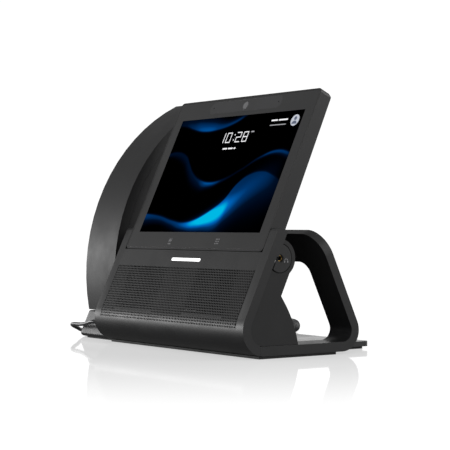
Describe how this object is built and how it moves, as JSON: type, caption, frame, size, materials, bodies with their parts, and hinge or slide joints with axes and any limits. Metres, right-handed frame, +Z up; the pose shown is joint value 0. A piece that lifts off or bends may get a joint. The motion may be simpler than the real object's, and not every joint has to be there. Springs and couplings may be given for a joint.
{
  "type": "desk ip phone",
  "caption": "Desk telephone with a large tilting touch display, a speaker panel on a bent strap base and a corded handset on a side cradle.",
  "frame": {"origin": "middle of the footprint of the phone without its cord, at desk level", "axes": "+Z up, +Y to the rear, +X to the user's right when facing the display"},
  "size_m": [0.305, 0.2332, 0.2134],
  "materials": {
    "body_plastic": "satin moulded plastic",
    "housing_plastic": "fine matt texture",
    "display_plastic": "satin moulded plastic",
    "handset_plastic": "satin moulded plastic",
    "cover_glass": "glossy, printed black behind",
    "picture": "lit picture",
    "lens_glass": "glossy",
    "ballast_metal": "matt paint",
    "soft_rubber": "matt",
    "connector_metal": "plated",
    "connector_plastic": "glossy",
    "contact_metal": "polished",
    "hinge_metal": "machined",
    "screw_metal": "plated",
    "speaker_frame": "matt",
    "speaker_cloth": "matt",
    "circuit_board": "solder mask",
    "light_diffuser": "frosted, lit from behind",
    "cord_jacket": "satin"
  },
  "bodies": {
    "base": {"front_panel": "body_plastic", "base_frame": "body_plastic", "ballast_plate": "ballast_metal", "front_foot": "soft_rubber", "side_feet": "soft_rubber", "rear_foot": "soft_rubber", "rear_housing": "housing_plastic", "port_plate": "housing_plastic", "network_jack": "connector_metal", "computer_jack": "connector_metal", "handset_jack": "connector_plastic", "usb_port": "connector_metal", "io_board": "circuit_board", "left_speaker": "speaker_frame", "right_speaker": "speaker_frame", "speaker_cones": "speaker_cloth", "light_bar": "light_diffuser", "light_board": "circuit_board", "left_hinge_boss": "hinge_metal", "right_hinge_boss": "hinge_metal", "left_hub_cap": "body_plastic", "right_hub_cap": "body_plastic", "headset_jack": "connector_plastic", "headset_contact": "contact_metal", "base_screws": "screw_metal", "housing_screws": "screw_metal", "cradle_base": "body_plastic", "cradle_foot": "soft_rubber", "cradle_spine": "body_plastic", "cradle_pads": "soft_rubber", "cradle_sensor": "speaker_frame", "cord_lead": "cord_jacket", "cord_curl": "cord_jacket", "cord_tail": "cord_jacket", "cord_plug": "connector_plastic"},
    "display": {"display_shell": "display_plastic", "hinge_barrel": "housing_plastic", "cover_glass": "cover_glass", "lcd_panel": "picture", "display_board": "circuit_board", "camera_window": "cover_glass", "camera_lens": "lens_glass", "camera_module": "speaker_frame", "display_microphones": "speaker_frame", "display_screws": "screw_metal"},
    "handset": {"handset_outer_shell": "handset_plastic", "handset_inner_shell": "handset_plastic", "ear_speaker": "speaker_frame", "ear_grille": "speaker_cloth", "mouth_microphone": "speaker_frame", "mouth_grille": "speaker_cloth", "handset_weight": "screw_metal", "handset_screws": "screw_metal", "handset_plug": "connector_plastic"}
  },
  "joints": [
    {"name": "display_tilt", "type": "hinge", "parent": "base", "child": "display", "pos_m": [0.03195, -0.03868, 0.07631], "axis": [-1, 0, 0], "range_deg": [0, 30]},
    {"name": "handset_lift", "type": "slide", "parent": "base", "child": "handset", "axis": [0, -0.9063, 0.4226], "range_m": [0, 0.08]}
  ]
}
